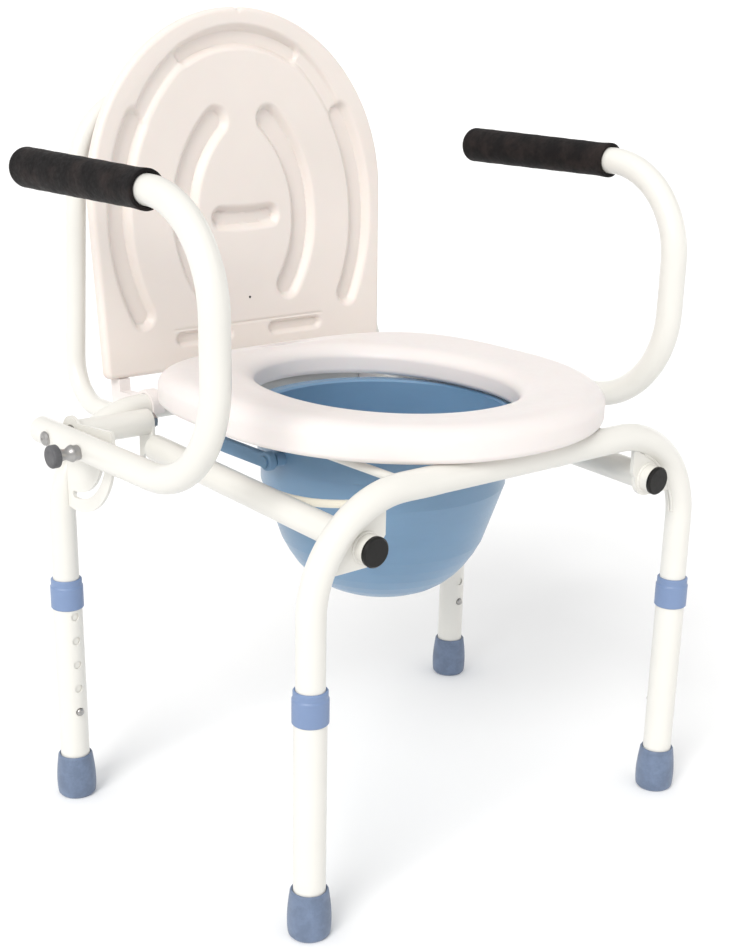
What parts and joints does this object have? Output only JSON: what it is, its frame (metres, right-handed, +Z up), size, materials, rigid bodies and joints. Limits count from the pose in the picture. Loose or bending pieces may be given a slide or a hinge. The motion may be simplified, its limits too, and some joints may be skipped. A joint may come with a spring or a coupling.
{
  "type": "commode chair",
  "caption": "Steel-tube commode chair with a hinged seat and lid, a lift-out bucket, drop-down padded arms, a back tube and height-adjustable legs with rubber feet",
  "frame": {"origin": "On the floor under the middle of the chair's overall box", "axes": "+Z up, the sitter faces -Y, +X to the sitter's left"},
  "size_m": [0.6224, 0.4766, 0.7552],
  "materials": {
    "frame_paint": "gloss powder coat",
    "rod_paint": "satin powder coat",
    "seat_plastic": "moulded, satin",
    "lid_plastic": "moulded, satin",
    "clip_plastic": "moulded, satin",
    "foot_rubber": "matt rubber",
    "collar_plastic": "satin",
    "bucket_plastic": "glossy",
    "bail_plastic": "satin",
    "grip_foam": "closed-cell foam",
    "plug_plastic": "satin",
    "knob_plastic": "satin",
    "cap_plastic": "satin",
    "plated_steel": "zinc plated"
  },
  "bodies": {
    "chair_frame": {"front_frame": "frame_paint", "rear_frame": "frame_paint", "gusset_right": "frame_paint", "gusset_left": "frame_paint", "side_rail_right": "frame_paint", "side_rail_left": "frame_paint", "rail_plugs": "plug_plastic", "pivot_sleeves": "frame_paint", "rail_brackets": "frame_paint", "lock_plate_right": "frame_paint", "lock_plate_left": "frame_paint", "pivot_bolts": "plated_steel", "pivot_nuts": "plated_steel", "pivot_washers": "plated_steel", "back_tube": "frame_paint", "bucket_rods": "frame_paint", "stay_rod": "rod_paint", "bucket": "bucket_plastic"},
    "bucket_bail": {"bail": "bail_plastic"},
    "seat_flap": {"seat": "seat_plastic", "seat_hinge_clips": "clip_plastic", "seat_hinge_screws": "plated_steel"},
    "lid_flap": {"lid": "lid_plastic", "lid_hinge_clips": "clip_plastic", "lid_hinge_screws": "plated_steel"},
    "arm_right": {"arm_tube_right": "frame_paint", "arm_grip_right": "grip_foam", "arm_end_cap_right": "cap_plastic", "pin_guide_right": "plated_steel"},
    "lock_pin_right": {"pull_pin_right": "plated_steel", "pull_knob_right": "knob_plastic", "pin_spring_right": "plated_steel"},
    "arm_left": {"arm_tube_left": "frame_paint", "arm_grip_left": "grip_foam", "arm_end_cap_left": "cap_plastic", "pin_guide_left": "plated_steel"},
    "lock_pin_left": {"pull_pin_left": "plated_steel", "pull_knob_left": "knob_plastic", "pin_spring_left": "plated_steel"},
    "leg_front_right": {"leg_extension_front_right": "frame_paint", "leg_collar_front_right": "collar_plastic", "leg_foot_front_right": "foot_rubber"},
    "snap_front_right": {"snap_button_front_right": "plated_steel"},
    "leg_front_left": {"leg_extension_front_left": "frame_paint", "leg_collar_front_left": "collar_plastic", "leg_foot_front_left": "foot_rubber"},
    "snap_front_left": {"snap_button_front_left": "plated_steel"},
    "leg_rear_right": {"leg_extension_rear_right": "frame_paint", "leg_collar_rear_right": "collar_plastic", "leg_foot_rear_right": "foot_rubber"},
    "snap_rear_right": {"snap_button_rear_right": "plated_steel"},
    "leg_rear_left": {"leg_extension_rear_left": "frame_paint", "leg_collar_rear_left": "collar_plastic", "leg_foot_rear_left": "foot_rubber"},
    "snap_rear_left": {"snap_button_rear_left": "plated_steel"}
  },
  "joints": [
    {"name": "lid_hinge", "type": "hinge", "parent": "chair_frame", "child": "lid_flap", "pos_m": [0, 0.14495, 0.3895], "axis": [1, 0, 0], "range_deg": [0, 92.5]},
    {"name": "seat_hinge", "type": "hinge", "parent": "chair_frame", "child": "seat_flap", "pos_m": [0, 0.14495, 0.3895], "axis": [1, 0, 0], "range_deg": [-92, 0]},
    {"name": "bail_hinge", "type": "hinge", "parent": "chair_frame", "child": "bucket_bail", "pos_m": [0, -0.0254, 0.37], "axis": [-1, 0, 0], "range_deg": [0, 50]},
    {"name": "arm_drop_right", "type": "hinge", "parent": "chair_frame", "child": "arm_right", "pos_m": [-0.27, 0.1196, 0.382], "axis": [1, 0, 0], "range_deg": [0, 90]},
    {"name": "knob_pull_right", "type": "slide", "parent": "arm_right", "child": "lock_pin_right", "axis": [-1, 0, 0], "range_m": [0, 0.006], "stiffness_N_per_m": 600, "springref_m": -0.004, "deforming": ["pin_spring_right"]},
    {"name": "arm_drop_left", "type": "hinge", "parent": "chair_frame", "child": "arm_left", "pos_m": [0.27, 0.1196, 0.382], "axis": [1, 0, 0], "range_deg": [0, 90]},
    {"name": "knob_pull_left", "type": "slide", "parent": "arm_left", "child": "lock_pin_left", "axis": [1, 0, 0], "range_m": [0, 0.006], "stiffness_N_per_m": 600, "springref_m": -0.004, "deforming": ["pin_spring_left"]},
    {"name": "leg_height_front_right", "type": "slide", "parent": "chair_frame", "child": "leg_front_right", "axis": [0, 0, -1], "range_m": [0, 0.1016]},
    {"name": "snap_press_front_right", "type": "slide", "parent": "chair_frame", "child": "snap_front_right", "axis": [0, -1, 0], "range_m": [0, 0.005], "stiffness_N_per_m": 500, "springref_m": -0.003, "deforming": ["snap_button_front_right"]},
    {"name": "leg_height_front_left", "type": "slide", "parent": "chair_frame", "child": "leg_front_left", "axis": [0, 0, -1], "range_m": [0, 0.1016]},
    {"name": "snap_press_front_left", "type": "slide", "parent": "chair_frame", "child": "snap_front_left", "axis": [0, -1, 0], "range_m": [0, 0.005], "stiffness_N_per_m": 500, "springref_m": -0.003, "deforming": ["snap_button_front_left"]},
    {"name": "leg_height_rear_right", "type": "slide", "parent": "chair_frame", "child": "leg_rear_right", "axis": [0, 0, -1], "range_m": [0, 0.1016]},
    {"name": "snap_press_rear_right", "type": "slide", "parent": "chair_frame", "child": "snap_rear_right", "axis": [0, 1, 0], "range_m": [0, 0.005], "stiffness_N_per_m": 500, "springref_m": -0.003, "deforming": ["snap_button_rear_right"]},
    {"name": "leg_height_rear_left", "type": "slide", "parent": "chair_frame", "child": "leg_rear_left", "axis": [0, 0, -1], "range_m": [0, 0.1016]},
    {"name": "snap_press_rear_left", "type": "slide", "parent": "chair_frame", "child": "snap_rear_left", "axis": [0, 1, 0], "range_m": [0, 0.005], "stiffness_N_per_m": 500, "springref_m": -0.003, "deforming": ["snap_button_rear_left"]}
  ]
}
